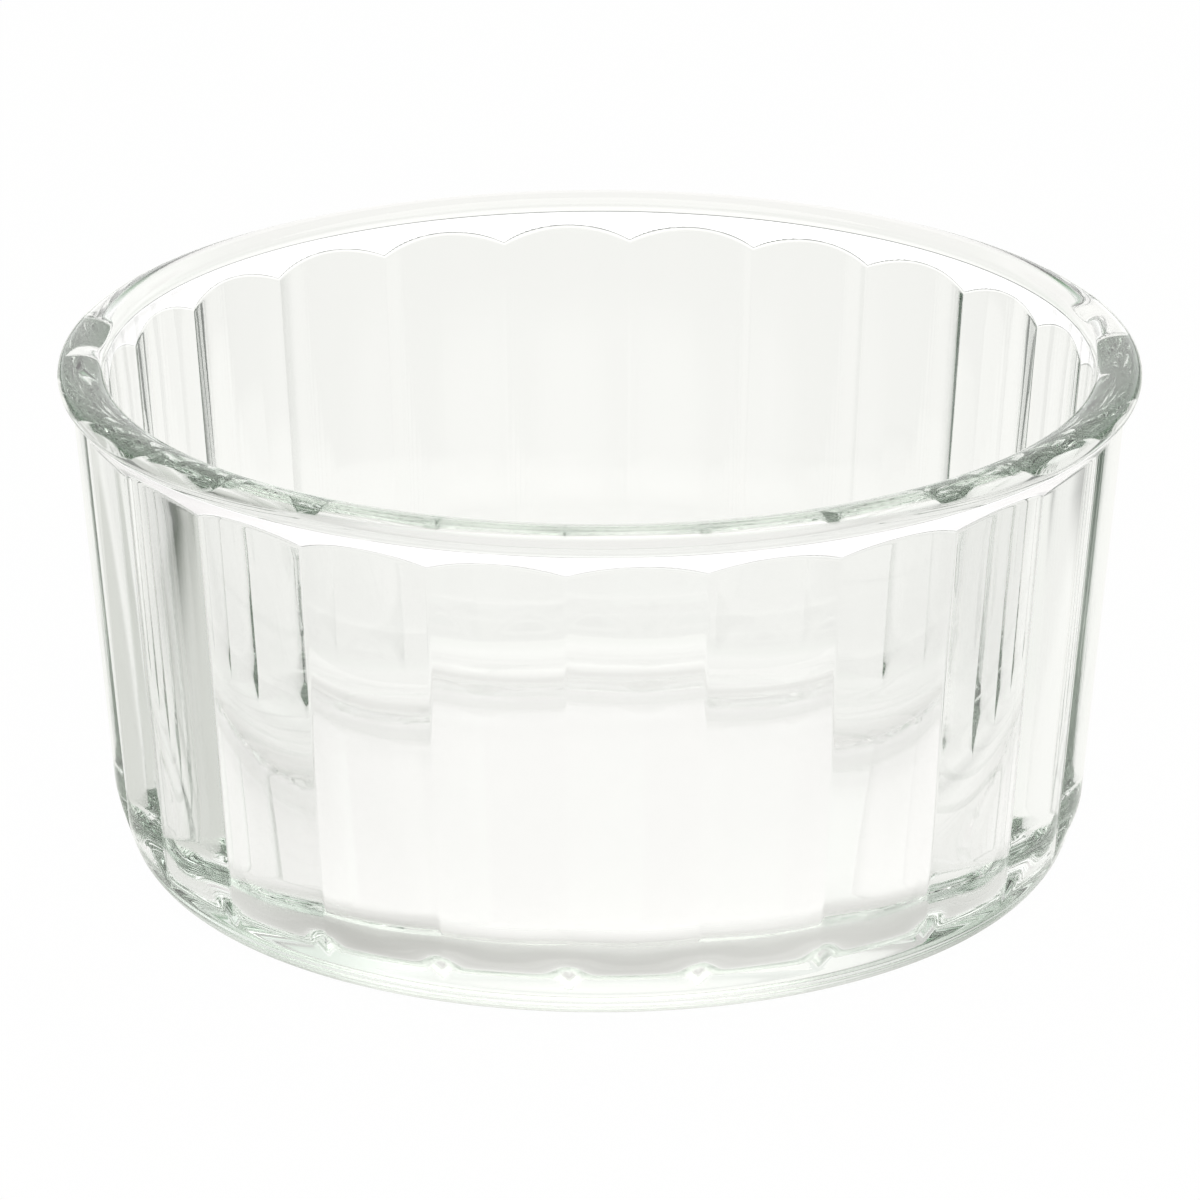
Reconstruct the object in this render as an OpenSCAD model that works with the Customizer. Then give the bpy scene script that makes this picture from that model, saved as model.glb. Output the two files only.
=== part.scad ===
// Fluted glass ramekin, one pressing shown in three zones:
// the base dish, the fluted wall and the rim bead meet face to face.
// Millimetres, +Z up, origin in the middle of the underside.

/* [Rim] */
// Diameter over the rim bead
rim_d = 100; // [90:1:120]
// Height from the underside to the top of the bead
height = 49.4; // [40:0.2:70]
// Width of the oval bead
bead_w = 4.4; // [4.2:0.1:5]
// Height of the oval bead
bead_h = 3.1; // [2.8:0.1:3.4]
// Slope of the flank under the bead, from the vertical
flank_angle = 38; // [34:1:46]

/* [Wall] */
// Wall thickness at a flute's crest, just below the bead
wall_t = 3.3; // [3:0.1:3.6]
// Draft of the fluted outside
outer_draft = 5; // [3.5:0.1:6.5]
// Draft of the smooth inside
inner_draft = 4.7; // [3.5:0.1:6.5]

/* [Flutes] */
// Number of flutes round the wall
flute_count = 24; // [20:1:30]
// Radius of each flute's rounded face
flute_r = 15.6; // [13:0.1:20]

/* [Base] */
// Thickness of the floor
floor_t = 4; // [3:0.1:6]
// Radius of the corner between the floor and the inside wall
inner_corner_r = 7.2; // [5:0.1:9]
// Radius of the corner between the underside and the heel
outer_corner_r = 5.5; // [4:0.1:7]
// Slope of the heel that cuts off the lower ends of the flutes, from the vertical
heel_angle = 19.5; // [15:0.5:24]
// Height at which the heel meets the flute crests
heel_top = 7.6; // [6:0.1:10]

/* [Hidden] */
$fn = 96;
glass = [0.86, 0.91, 0.88, 0.45];

// Room left beyond a curve before a zone ends
zone_gap = 0.4;
// How far the bead's round edges stand proud of the inside wall and the flank
bead_swell = 0.03;

// Middle of the bead's oval section, radius of its round edges and how far their middles lie to either side
bead_x = rim_d / 2 - bead_w / 2;
bead_z = height - bead_h / 2;
edge_r = 0.42 * bead_h;
edge_off = bead_w / 2 - edge_r;
// Radius of the flatter crown that joins the edges
crown_r = 0.97 * (edge_off ^ 2 + bead_h ^ 2 / 4 - edge_r ^ 2) / (bead_h - 2 * edge_r);
// Points where the inside wall and the flank sink into the bead's round edges
sunk_r = edge_r - bead_swell;
inner_top = [bead_x - edge_off - sunk_r * cos(inner_draft), bead_z + sunk_r * sin(inner_draft)];
flank_top = [bead_x + edge_off + sunk_r * cos(flank_angle), bead_z - sunk_r * sin(flank_angle)];

// Radius of the inside wall, of the flute crests and of the flank at a height
crest_top = inner_top.x + wall_t;
function inside_x(z) = inner_top.x + (z - inner_top.y) * tan(inner_draft);
function crest_x(z) = crest_top + (z - inner_top.y) * tan(outer_draft);
function flank_x(z) = flank_top.x + (z - flank_top.y) * tan(flank_angle);

// Height at which the flank runs into the flute crests
flank_low = flank_top.y - (flank_top.x - crest_x(flank_top.y)) / (tan(flank_angle) - tan(outer_draft));
// Planes between the zones
base_top = max(floor_t + inner_corner_r, heel_top) + zone_gap;
wall_top = flank_low + zone_gap;

// Where the flat floor of a cup with a round corner ends
function floor_edge(wall_x, draft, corner_r) = wall_x - corner_r / tan((90 + draft) / 2);

// A cup's section, right half: a flat floor, a round corner and a drafted wall
module cup_section(wall_x, draft, corner_r, z0, z1) {
    edge_x = floor_edge(wall_x, draft, corner_r);
    bend = [edge_x + corner_r * cos(draft), z0 + corner_r * (1 - sin(draft))];
    polygon([[0, z0], [edge_x, z0], bend, [wall_x + (z1 - z0) * tan(draft), z1], [0, z1]]);
    translate([edge_x, z0 + corner_r]) circle(corner_r);
}

// The hollow of the ramekin, up to the bead's inner edge
module hollow() {
    rotate_extrude() cup_section(inside_x(floor_t), inner_draft, inner_corner_r, floor_t, inner_top.y);
}

// The fluted outside as a solid ring, one tilted round column for each flute
module fluted_body() {
    axis_x = crest_x(0) - flute_r / cos(outer_draft);
    for (i = [0 : flute_count - 1])
        rotate([0, 0, 360 / flute_count * i])
            translate([axis_x, 0, 0])
                rotate([0, outer_draft, 0])
                    translate([0, 0, -wall_t]) cylinder(r = flute_r, h = height + 2 * wall_t);
}

// Everything between two heights
module zone(z0, z1) {
    translate([0, 0, z0]) cylinder(r = rim_d, h = z1 - z0);
}

// Floor and lower corner, where the flutes run out
module base() {
    heel_x = crest_x(heel_top) - heel_top * tan(heel_angle);
    color(glass) difference() {
        intersection() {
            union() {
                fluted_body();
                cylinder(r = floor_edge(heel_x, heel_angle, outer_corner_r), h = base_top);
            }
            rotate_extrude() cup_section(heel_x, heel_angle, outer_corner_r, 0, base_top);
        }
        hollow();
    }
}

// Wall of rounded flutes, smooth inside, up to the flank under the bead
module fluted_wall() {
    foot_z = wall_top - 2 * wall_t;
    head_z = wall_top + wall_t;
    color(glass) difference() {
        intersection() {
            union() {
                fluted_body();
                translate([0, 0, foot_z])
                    cylinder(r1 = flank_x(foot_z), r2 = flank_x(head_z), h = head_z - foot_z);
            }
            zone(base_top, wall_top);
        }
        hollow();
    }
}

// The crown's section, a wedge that opens from its middle through the middles of the round edges
module crown() {
    rise = crown_r - bead_h / 2;
    open = 2 * crown_r / rise;
    translate([bead_x, bead_z - rise]) intersection() {
        circle(crown_r);
        polygon([[0, 0], open * [edge_off, rise], open * [-edge_off, rise]]);
    }
}

// Oval bead of the rim, on its sloping flank
module rim_bead() {
    foot_z = wall_top - wall_t / 2;
    inner_foot = [inside_x(foot_z), foot_z];
    flank_foot = [flank_x(foot_z), foot_z];
    color(glass) intersection() {
        union() {
            rotate_extrude() polygon([inner_foot, inner_top, flank_top, flank_foot]);
            rotate_extrude() crown();
            for (side = [-1, 1])
                rotate_extrude() translate([bead_x + side * edge_off, bead_z]) circle(edge_r);
        }
        zone(wall_top, height + wall_t);
    }
}

base();
fluted_wall();
rim_bead();
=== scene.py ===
import math

import bpy
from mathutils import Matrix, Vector


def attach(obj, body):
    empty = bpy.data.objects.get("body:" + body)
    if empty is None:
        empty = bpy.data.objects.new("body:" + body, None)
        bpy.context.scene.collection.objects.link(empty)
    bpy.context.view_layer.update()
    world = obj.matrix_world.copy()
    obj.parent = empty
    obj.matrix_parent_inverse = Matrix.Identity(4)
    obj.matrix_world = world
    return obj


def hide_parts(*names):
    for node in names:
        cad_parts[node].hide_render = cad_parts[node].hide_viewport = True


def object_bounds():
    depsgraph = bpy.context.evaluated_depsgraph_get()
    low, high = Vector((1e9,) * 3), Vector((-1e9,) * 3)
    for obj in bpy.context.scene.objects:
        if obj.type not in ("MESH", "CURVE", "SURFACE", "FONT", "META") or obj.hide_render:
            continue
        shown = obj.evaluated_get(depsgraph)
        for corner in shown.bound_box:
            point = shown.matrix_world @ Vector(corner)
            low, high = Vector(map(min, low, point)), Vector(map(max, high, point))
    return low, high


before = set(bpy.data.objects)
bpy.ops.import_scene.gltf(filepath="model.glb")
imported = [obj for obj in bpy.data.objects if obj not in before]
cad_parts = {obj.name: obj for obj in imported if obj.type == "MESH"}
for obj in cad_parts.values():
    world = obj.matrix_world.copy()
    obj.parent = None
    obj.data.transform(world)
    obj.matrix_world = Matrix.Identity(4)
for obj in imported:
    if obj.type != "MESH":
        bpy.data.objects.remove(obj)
cadLow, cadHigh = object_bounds()
mm = 0.001
tiny = 1e-7    # metres, below which two points count as one
print("frame loaded:", sorted(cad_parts))


def toLinear(hexColour):
    parts = [int(hexColour[i:i + 2], 16) / 255 for i in (1, 3, 5)]
    return [p / 12.92 if p <= 0.04045 else ((p + 0.055) / 1.055) ** 2.4 for p in parts] + [1.0]


def addNode(tree, kind, settings=None, links=None):
    node = tree.nodes.new(kind)
    for name, value in (settings or {}).items():
        if isinstance(name, int) or name in node.inputs:
            node.inputs[name].default_value = value
        else:
            setattr(node, name, value)
    for name, source in (links or {}).items():
        tree.links.new(source, node.inputs[name])
    return node


def newTree(owner):
    owner.use_nodes = True
    owner.node_tree.nodes.clear()
    return owner.node_tree


def deselectAll():
    if bpy.context.object and bpy.context.object.mode != "OBJECT":
        bpy.ops.object.mode_set(mode="OBJECT")
    bpy.ops.object.select_all(action="DESELECT")


# camera, at the photograph's height and a little left of a flute's crest
shot = {
    "azimuth": -3.94,          # degrees round the ramekin
    "elevation": 20.36,        # degrees above the table
    "distance": 842.4 * mm,    # from the aim point
    "aimHeight": 24.76 * mm,
    "aimRight": 0.02 * mm,
    "lens": 271.3,
    "sensor": 36.0,
    "nearest": 0.05,           # metres, the first and the last place that the camera sees
    "farthest": 50,
}


def addCamera():
    turn, lift = math.radians(shot["azimuth"]), math.radians(shot["elevation"])
    back = Vector((math.sin(turn) * math.cos(lift), -math.cos(turn) * math.cos(lift), math.sin(lift)))
    right = Vector((math.cos(turn), math.sin(turn), 0))
    aim = Vector((0, 0, shot["aimHeight"])) + right * shot["aimRight"]
    bpy.ops.object.camera_add(location=aim + back * shot["distance"])
    camera = bpy.context.object
    camera.name = "camera"
    camera.rotation_euler = (-back).to_track_quat("-Z", "Y").to_euler()
    camera.data.lens = shot["lens"]
    camera.data.sensor_width = shot["sensor"]
    camera.data.clip_start, camera.data.clip_end = shot["nearest"], shot["farthest"]
    bpy.context.scene.camera = camera


addCamera()
print("camera set")

# the ramekin, one pressing of glass
cup = {
    "rimRadius": min(cadHigh.x, -cadLow.x),
    "height": cadHigh.z,
    "beadWidth": 4.4 * mm,              # the bead's section is an oval
    "beadHeight": 3.1 * mm,
    "beadEdge": 1.3 * mm,               # radius of its inner and outer edge
    "flankSlope": math.radians(38),     # of the flank under the bead, from the vertical
    "wall": 3.3 * mm,                   # at a flute's crest, just below the bead
    "outerDraft": math.radians(5),
    "innerDraft": math.radians(4.7),
    "flutes": 24,
    "fluteRadius": 15.6 * mm,
    "floor": 4.0 * mm,
    "innerCorner": 7.2 * mm,
    "outerCorner": 5.5 * mm,
    "heelSlope": math.radians(19.5),    # of the heel that cuts off the flutes, from the vertical
    "heelTop": 7.6 * mm,                # where it meets the crests
    "grooveBlend": 0.08 * mm,           # rounds the bottom of the grooves between flutes
    "topBlend": 0.12 * mm,              # rounds the upper ends of the flutes
    "heelBlend": 0.25 * mm,             # rounds their lower ends
    # how finely it is drawn
    "columns": 28,                      # across one flute
    "crowding": 0.85,                   # how much the columns crowd towards the grooves
    "cornerRows": 20,                   # round the outer corner
    "heelRows": 16,                     # up the heel and over the lower ends of the flutes
    "wallRows": 8,                      # up the plain middle of the wall
    "scallopRows": 24,                  # over the upper ends of the flutes
    "beadRows": 38,                     # round the bead
    "insideRows": 7,                    # down the inside wall
    "innerRows": 22,                    # round the inner corner
    "flatInset": 0.6 * mm,              # of a ring of points within each flat's edge
    "heelClear": 1 * mm,                # how far the heel's rows go on above it
    "scallopDepth": 3.4 * mm,           # how far below the flank's top the scallops' rows start
    "beadClear": 0.1 * mm,              # and where they end
    "skinClear": 0.4 * mm,              # least distance of the fluted skin from the inside
    "weld": 0.002 * mm,                 # points this close become one
}


def smoothMax(a, b, reach):
    overlap = max(reach - abs(a - b), 0) / reach
    return max(a, b) + overlap * overlap * reach / 4


def smoothMin(a, b, reach):
    return -smoothMax(-a, -b, reach)


beadX = cup["rimRadius"] - cup["beadWidth"] / 2
beadZ = cup["height"] - cup["beadHeight"] / 2
edgeOff = cup["beadWidth"] / 2 - cup["beadEdge"]
crownReach = edgeOff ** 2 + cup["beadHeight"] ** 2 / 4 - cup["beadEdge"] ** 2
crownRadius = crownReach / (cup["beadHeight"] - 2 * cup["beadEdge"])
crownDrop = crownRadius - cup["beadHeight"] / 2


def beadPoint(turn):
    # point of the bead's oval that faces this way: two round edges and the flatter crown between them
    crownStart = math.atan2(crownDrop, edgeOff)
    if crownStart < turn < math.pi - crownStart:
        return beadX + crownRadius * math.cos(turn), beadZ - crownDrop + crownRadius * math.sin(turn)
    middle = beadX + (edgeOff if turn < math.pi / 2 else -edgeOff)
    return middle + cup["beadEdge"] * math.cos(turn), beadZ + cup["beadEdge"] * math.sin(turn)


innerTop = beadPoint(math.pi - cup["innerDraft"])
flankTop = beadPoint(-cup["flankSlope"])


def insideX(z):
    return innerTop[0] + (z - innerTop[1]) * math.tan(cup["innerDraft"])


def crestX(z):
    return innerTop[0] + cup["wall"] + (z - innerTop[1]) * math.tan(cup["outerDraft"])


def flankX(z):
    return flankTop[0] + (z - flankTop[1]) * math.tan(cup["flankSlope"])


def cornerEdge(wallX, draft, radius):
    # where the flat under, or in, a cup with a round corner ends
    return wallX - radius / math.tan((math.pi / 2 + draft) / 2)


heelX = crestX(cup["heelTop"]) - cup["heelTop"] * math.tan(cup["heelSlope"])
outerEdge = cornerEdge(heelX, cup["heelSlope"], cup["outerCorner"])
arcTop = cup["outerCorner"] * (1 - math.sin(cup["heelSlope"]))
innerEdge = cornerEdge(insideX(cup["floor"]), cup["innerDraft"], cup["innerCorner"])
pitch = 2 * math.pi / cup["flutes"]


def oneFlute(angle, z):
    # where a radius at this angle from the crest leaves the flute's tilted column
    slope = math.cos(cup["outerDraft"]) ** 2
    axis = crestX(z) - cup["fluteRadius"] / math.cos(cup["outerDraft"])
    a = math.cos(angle) ** 2 * slope + math.sin(angle) ** 2
    b = axis * math.cos(angle) * slope
    c = axis * axis * slope - cup["fluteRadius"] ** 2
    return (b + math.sqrt(max(b * b - a * c, 0))) / a


def cornerX(z):
    # the round corner of the underside and the heel above it
    if z >= arcTop:
        return heelX + z * math.tan(cup["heelSlope"])
    drop = cup["outerCorner"] - z
    return outerEdge + math.sqrt(max(cup["outerCorner"] ** 2 - drop * drop, 0))


def skinX(angle, z):
    wall = smoothMax(oneFlute(angle, z), oneFlute(pitch - abs(angle), z), cup["grooveBlend"])
    wall = smoothMax(wall, flankX(z), cup["topBlend"])
    return smoothMin(wall, cornerX(z), cup["heelBlend"])


def spread(first, last, steps):
    return [first + (last - first) * i / steps for i in range(steps + 1)]


def arcPoint(edgeX, floorZ, radius, turn):
    # point of a round corner that starts at a flat's edge
    return edgeX + radius * math.sin(turn), floorZ + radius * (1 - math.cos(turn))


def sectionPoints():
    # half of the ramekin's section through a crest, from the middle of the underside to the middle of the floor
    points = [(0, 0), (outerEdge - cup["flatInset"], 0)]
    for turn in spread(0, math.pi / 2 - cup["heelSlope"], cup["cornerRows"]):
        points.append(arcPoint(outerEdge, 0, cup["outerCorner"], turn))
    wallFoot, wallHead = cup["heelTop"] + cup["heelClear"], flankTop[1] - cup["scallopDepth"]
    heights = spread(arcTop, wallFoot, cup["heelRows"])[1:]
    heights += spread(wallFoot, wallHead, cup["wallRows"])[1:]
    heights += spread(wallHead, flankTop[1] - cup["beadClear"], cup["scallopRows"])[1:]
    points += [(min(crestX(z), cornerX(z)), z) for z in heights]
    skinRows = len(points)
    points += [beadPoint(turn) for turn in spread(-cup["flankSlope"], math.pi - cup["innerDraft"], cup["beadRows"])]
    cornerTop = cup["floor"] + cup["innerCorner"] * (1 - math.sin(cup["innerDraft"]))
    points += [(insideX(z), z) for z in spread(innerTop[1], cornerTop, cup["insideRows"])[1:-1]]
    for turn in spread(math.pi / 2 - cup["innerDraft"], 0, cup["innerRows"]):
        points.append(arcPoint(innerEdge, cup["floor"], cup["innerCorner"], turn))
    points += [(innerEdge - cup["flatInset"], cup["floor"]), (0, cup["floor"])]
    return points, skinRows


def buildRamekin():
    points, skinRows = sectionPoints()
    deselectAll()
    # one point, drawn out along the section
    bpy.ops.mesh.primitive_plane_add(size=mm, location=(0, 0, 0))
    ramekin = bpy.context.object
    ramekin.name = ramekin.data.name = "ramekin_glass"
    bpy.ops.object.mode_set(mode="EDIT")
    bpy.ops.mesh.select_all(action="SELECT")
    bpy.ops.mesh.merge(type="CENTER")
    for (x0, z0), (x1, z1) in zip(points, points[1:]):
        bpy.ops.mesh.extrude_region_move(TRANSFORM_OT_translate={"value": (x1 - x0, 0, z1 - z0)})
    # swept across one flute's pitch
    bpy.ops.mesh.select_all(action="SELECT")
    bpy.ops.mesh.spin(steps=cup["columns"], angle=pitch, center=(0, 0, 0), axis=(0, 0, 1))
    bpy.ops.object.mode_set(mode="OBJECT")
    # the columns crowd towards the grooves, and each outer point slides along its radius on to the flute
    lowX, highZ = points[1][0], points[skinRows - 1][1]
    for vertex in ramekin.data.vertices:
        x, y, z = vertex.co
        radius = math.hypot(x, y)
        if radius < tiny:
            continue
        share = 2 * abs(math.atan2(y, x)) / pitch - 1
        crowded = (1 - cup["crowding"]) * share + cup["crowding"] * math.sin(share * math.pi / 2)
        angle = crowded * pitch / 2
        clear = insideX(z) + cup["skinClear"] if z > cup["floor"] else 0
        if z <= highZ + tiny and radius > max(lowX + tiny, clear):
            radius = skinX(angle, z)
        vertex.co = (radius * math.cos(angle), radius * math.sin(angle), z)
    # the other flutes are copies round the axis
    bpy.ops.object.mode_set(mode="EDIT")
    bpy.ops.mesh.select_all(action="SELECT")
    bpy.ops.mesh.spin(steps=cup["flutes"], angle=2 * math.pi, dupli=True, center=(0, 0, 0), axis=(0, 0, 1))
    bpy.ops.mesh.select_all(action="SELECT")
    bpy.ops.mesh.remove_doubles(threshold=cup["weld"])
    bpy.ops.mesh.normals_make_consistent(inside=False)
    bpy.ops.object.mode_set(mode="OBJECT")
    bpy.ops.object.shade_smooth()
    return ramekin


ramekin = buildRamekin()
print("ramekin modelled:", len(ramekin.data.vertices), "points", len(ramekin.data.polygons), "faces")

# pressed soda-lime glass: clear and glossy, with a faint green cast where it is thick
glassLook = {
    "ior": 1.52,
    "roughness": 0.0,
    "tint": "#a6c8a8",
    "density": 3.0,             # per metre
    "waveSize": 8 * mm,         # broad waves left by the mould
    "waveHeight": 0.005,        # in millimetres
    "rippleLength": 7 * mm,     # fine chill ripples, level and in patches
    "rippleWidth": 0.9 * mm,
    "rippleHeight": 0.0025,     # in millimetres
    "patchSize": 16 * mm,
    "patchFrom": 0.48,          # noise at which a patch begins, and at which it is full
    "patchFull": 0.66,
}


def makeGlass():
    material = bpy.data.materials.new("pressed soda-lime glass")
    tree = newTree(material)
    place = addNode(tree, "ShaderNodeTexCoord").outputs["Object"]
    waves = addNode(tree, "ShaderNodeTexNoise", {
        "Scale": 1 / glassLook["waveSize"], "Detail": 1.0,
    }, {"Vector": place})
    across, along = 1 / glassLook["rippleWidth"], 1 / glassLook["rippleLength"]
    drawn = addNode(tree, "ShaderNodeVectorMath", {
        "operation": "MULTIPLY", 1: (along, along, across),
    }, {0: place})
    ripples = addNode(tree, "ShaderNodeTexNoise", {"Scale": 1.0, "Detail": 1.0}, {"Vector": drawn.outputs[0]})
    patches = addNode(tree, "ShaderNodeTexNoise", {
        "Scale": 1 / glassLook["patchSize"], "Detail": 0.0,
    }, {"Vector": place})
    depth = addNode(tree, "ShaderNodeMapRange", {
        "From Min": glassLook["patchFrom"], "From Max": glassLook["patchFull"], "To Max": glassLook["rippleHeight"],
    }, {"Value": patches.outputs[0]})
    chill = addNode(tree, "ShaderNodeMath", {"operation": "MULTIPLY"}, {0: ripples.outputs[0], 1: depth.outputs[0]})
    both = addNode(tree, "ShaderNodeMath", {
        "operation": "MULTIPLY_ADD", 1: glassLook["waveHeight"],
    }, {0: waves.outputs[0], 2: chill.outputs[0]})
    bump = addNode(tree, "ShaderNodeBump", {"Strength": 1.0, "Distance": mm}, {"Height": both.outputs[0]})
    shader = addNode(tree, "ShaderNodeBsdfPrincipled", {
        "Base Color": (1, 1, 1, 1), "Roughness": glassLook["roughness"],
        "IOR": glassLook["ior"], "Transmission Weight": 1.0,
    }, {"Normal": bump.outputs[0]})
    volume = addNode(tree, "ShaderNodeVolumeAbsorption", {
        "Color": toLinear(glassLook["tint"]), "Density": glassLook["density"],
    })
    addNode(tree, "ShaderNodeOutputMaterial", links={"Surface": shader.outputs[0], "Volume": volume.outputs[0]})
    return material


ramekin.data.materials.append(makeGlass())
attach(ramekin, "root")
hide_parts("base", "fluted_wall", "rim_bead")
print("glass on")


# studio: a white floor under soft light that fades from the back to a dim room in front; through and off the glass the
# floor shows painted pools of light and painted shadow instead of lit paper
# sizes and places on the floor are in metres, those of the room are directions
# a pool is white and lies straight unless it says otherwise, and one below zero is shade
studio = {
    "floor": {
        "size": 6.0,
        "drop": 0.05 * mm,      # below the underside
        "colour": "#f7f7f5",
        "white": 0.98,          # share of plain white in what the camera sees
    },
    # painted light: through and off the glass the floor glows with this base and the pools below, which no lamp casts
    "paintedFloorGlow": "#8f918e",
    "paintedFloorPools": [     # as the glass shows them
        # painted pools of light: the lit paper strip behind, a faint glow far back, and a bright pool in front of the
        # ramekin
        {"middle": (0.006, 0.50, 0), "size": (0.218, 0.58, 1), "soft": 0.06, "level": 0.69, "colour": "#fffefb"},
        {"middle": (0, 1.0, 0), "size": (0.60, 0.82, 1), "soft": 0.15, "level": 0.15},
        {"middle": (0, -0.125, 0), "size": (0.15, 0.11, 1), "soft": 0.60, "level": 0.46},
        # painted shadow of the ramekin, cast to its left
        {"middle": (-0.083, 0.018, 0), "size": (0.072, 0.030, 1), "turn": 122, "soft": 0.20, "level": -0.28,
         "colour": "#fffbff"},
        # painted contact shadow: a dark ring round the foot, lighter just inside it, deepest in a crescent under the
        # front
        {"middle": (0, 0, 0), "size": (0.045, 0.045, 1), "soft": 0.10, "level": -0.14},
        {"middle": (0, 0, 0), "size": (0.036, 0.036, 1), "soft": 0.20, "level": 0.12},
        {"middle": (0, -0.0405, 0), "size": (0.027, 0.012, 1), "soft": 1.0, "level": -0.38},
        {"middle": (-0.0245, -0.0325, 0), "size": (0.027, 0.012, 1), "turn": -37, "soft": 1.0, "level": -0.38},
        {"middle": (0.0245, -0.0325, 0), "size": (0.027, 0.012, 1), "turn": 37, "soft": 1.0, "level": -0.28},
    ],
    "lean": 0.86,       # how far the soft light leans to the back
    "leanLow": -0.6,    # the leaning height at the start and the end of its colours
    "leanHigh": 1.3,
    "soft": [
        (0.00, "#000000"), (0.42, "#0c100d"), (0.526, "#223027"), (0.632, "#96ae98"),
        (0.737, "#ffffff"), (0.842, "#c9c5c6"), (1.00, "#f2eced"),
    ],
    "level": 1.1,
    "roomPools": [
        {"middle": (-0.03, 0.97, 0.22), "size": (0.68, 1, 0.32), "soft": 0.30, "level": 0.40},
        {"middle": (0.02, -0.97, 0.06), "size": (0.48, 1, 0.19), "soft": 0.72, "level": 0.62, "colour": "#e8fff2"},
        {"middle": (-0.9, 0.58, 0.13), "size": (1, 1.16, 0.38), "soft": 1.0, "level": -0.42, "colour": "#ffeefc"},
        {"middle": (0.9, 0.60, 0.40), "size": (1, 1.07, 0.17), "soft": 1.0, "level": 0.60, "colour": "#e6ffee"},
    ],
    "lamps": [
        {"name": "soft_lamp_above", "middle": (0.10, 0, 1.0), "tilt": 0, "level": 1.0, "inGlass": True},
        {"name": "soft_lamp_in_front", "middle": (0, -1.0, 0.6), "tilt": 60, "level": 2.0, "inGlass": False},
    ],
    "lampSide": 1.0,
    "lampColour": "#fffdfa",
    "bounces": 64,
}


def addPools(tree, place, light, pools):
    # soft-edged pools of light, or of shade, on top of another light
    for pool in pools:
        turn = -math.radians(pool.get("turn", 0))
        colour = toLinear(pool.get("colour", "#ffffff"))[:3]
        away = addNode(tree, "ShaderNodeVectorMath", {"operation": "SUBTRACT", 1: pool["middle"]}, {0: place})
        turned = addNode(tree, "ShaderNodeVectorRotate", {
            "rotation_type": "Z_AXIS", "Angle": turn,
        }, {"Vector": away.outputs[0]})
        share = addNode(tree, "ShaderNodeVectorMath", {"operation": "DIVIDE", 1: pool["size"]}, {0: turned.outputs[0]})
        far = addNode(tree, "ShaderNodeVectorMath", {"operation": "LENGTH"}, {0: share.outputs[0]})
        edge = addNode(tree, "ShaderNodeMapRange", {
            "interpolation_type": "SMOOTHSTEP", "From Min": 1 - pool["soft"], "From Max": 1.0,
            "To Min": pool["level"], "To Max": 0.0,
        }, {"Value": far.outputs["Value"]})
        glow = addNode(tree, "ShaderNodeVectorMath", {"operation": "SCALE", 0: colour}, {"Scale": edge.outputs[0]})
        light = addNode(tree, "ShaderNodeVectorMath", {"operation": "ADD"}, {0: light, 1: glow.outputs[0]}).outputs[0]
    return addNode(tree, "ShaderNodeVectorMath", {"operation": "MAXIMUM", 1: (0, 0, 0)}, {0: light}).outputs[0]


def addFloor():
    floor = studio["floor"]
    deselectAll()
    bpy.ops.mesh.primitive_plane_add(size=floor["size"], location=(0, 0, -floor["drop"]))
    sheet = bpy.context.object
    sheet.name = sheet.data.name = "floor"
    # white paper: matt, and a plain even white to the camera; through and off the glass it glows with painted light
    # and painted shadow
    material = bpy.data.materials.new("white paper floor with painted light in the glass")
    tree = newTree(material)
    matt = addNode(tree, "ShaderNodeBsdfDiffuse", {"Color": toLinear(floor["colour"])})
    place = addNode(tree, "ShaderNodeTexCoord").outputs["Object"]
    base = addNode(tree, "ShaderNodeRGB").outputs[0]
    base.default_value = toLinear(studio["paintedFloorGlow"])
    lit = addPools(tree, place, base, studio["paintedFloorPools"])
    # plain white to the camera, the painted pools of light and painted shadows through and off the glass, real paper
    # to all else
    ray = addNode(tree, "ShaderNodeLightPath")
    glass = addNode(tree, "ShaderNodeMath", {"operation": "MAXIMUM"}, {
        0: ray.outputs["Is Glossy Ray"], 1: ray.outputs["Is Transmission Ray"],
    })
    # painted light: the floor glows with the painted pools where the glass shows it
    pools = addNode(tree, "ShaderNodeEmission", {"Strength": 1.0}, {"Color": lit})
    white = addNode(tree, "ShaderNodeEmission", {"Color": (1, 1, 1, 1), "Strength": 1.0})
    direct = addNode(tree, "ShaderNodeMath", {
        "operation": "MULTIPLY", 1: floor["white"],
    }, {0: ray.outputs["Is Camera Ray"]})
    seen = addNode(tree, "ShaderNodeMixShader", links={0: direct.outputs[0], 1: matt.outputs[0], 2: white.outputs[0]})
    both = addNode(tree, "ShaderNodeMixShader", links={0: glass.outputs[0], 1: seen.outputs[0], 2: pools.outputs[0]})
    addNode(tree, "ShaderNodeOutputMaterial", links={"Surface": both.outputs[0]})
    sheet.data.materials.append(material)


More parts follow.
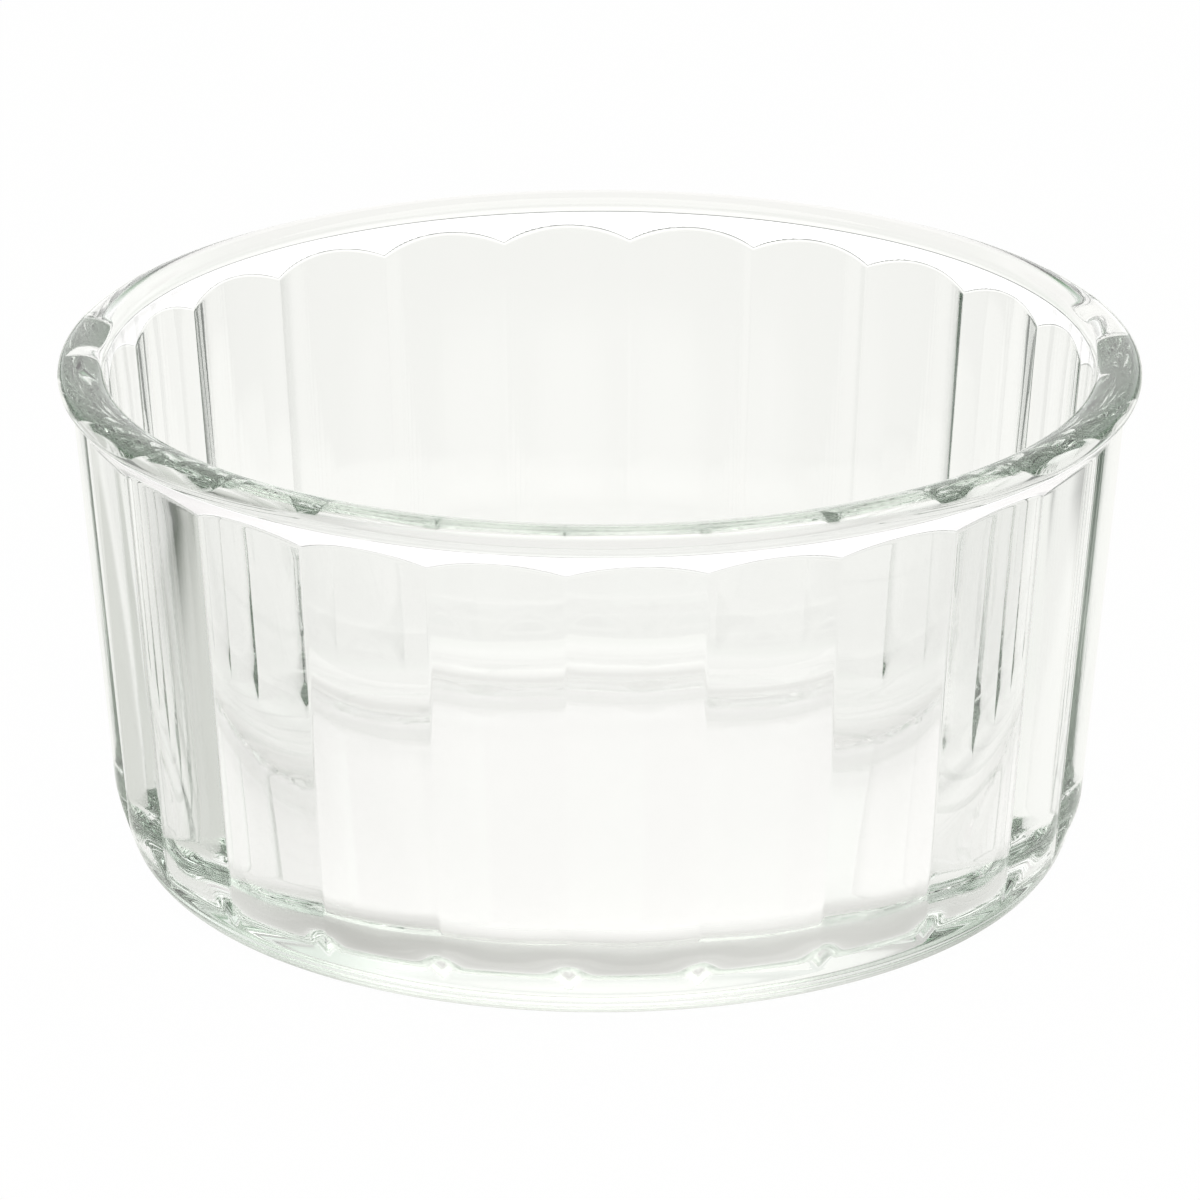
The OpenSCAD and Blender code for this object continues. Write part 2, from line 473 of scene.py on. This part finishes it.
def addLamp(lamp):
    side, tilt = studio["lampSide"], math.radians(lamp["tilt"])
    bpy.ops.object.light_add(type="AREA", location=lamp["middle"], rotation=(tilt, 0, 0))
    light = bpy.context.object
    light.name = lamp["name"]
    light.data.shape = "SQUARE"
    light.data.size = side
    light.data.color = toLinear(studio["lampColour"])[:3]
    light.data.energy = lamp["level"] * math.pi * side * side    # watts that give the lamp's face this level
    light.visible_camera = False
    light.visible_glossy = light.visible_transmission = lamp["inGlass"]


def addWorld():
    world = bpy.data.worlds.new("studio")
    bpy.context.scene.world = world
    tree = newTree(world)
    way = addNode(tree, "ShaderNodeTexCoord").outputs["Generated"]
    height = addNode(tree, "ShaderNodeVectorMath", {
        "operation": "DOT_PRODUCT", 1: (0, studio["lean"], 1),
    }, {0: way})
    place = addNode(tree, "ShaderNodeMapRange", {
        "From Min": studio["leanLow"], "From Max": studio["leanHigh"],
    }, {"Value": height.outputs["Value"]})
    soft = addNode(tree, "ShaderNodeValToRGB", links={0: place.outputs[0]})
    stops = soft.color_ramp.elements
    stops[0].color, stops[1].color = toLinear(studio["soft"][0][1]), toLinear(studio["soft"][-1][1])
    for stop, colour in studio["soft"][1:-1]:
        stops.new(stop).color = toLinear(colour)
    level = addNode(tree, "ShaderNodeVectorMath", {
        "operation": "SCALE", "Scale": studio["level"],
    }, {0: soft.outputs[0]})
    lit = addPools(tree, way, level.outputs[0], studio["roomPools"])
    room = addNode(tree, "ShaderNodeBackground", {"Strength": 1.0}, {"Color": lit})
    white = addNode(tree, "ShaderNodeBackground", {"Color": (1, 1, 1, 1), "Strength": 1.0})
    camera = addNode(tree, "ShaderNodeLightPath").outputs["Is Camera Ray"]
    both = addNode(tree, "ShaderNodeMixShader", links={0: camera, 1: room.outputs[0], 2: white.outputs[0]})
    addNode(tree, "ShaderNodeOutputWorld", links={"Surface": both.outputs[0]})


addFloor()
for lamp in studio["lamps"]:
    addLamp(lamp)
addWorld()
scene = bpy.context.scene
scene.view_settings.view_transform = "Standard"
scene.cycles.max_bounces = studio["bounces"]
scene.cycles.transmission_bounces = studio["bounces"]
scene.cycles.glossy_bounces = studio["bounces"]
scene.cycles.blur_glossy = 0    # what shows in the glass stays sharp after many bounces
print("studio set")
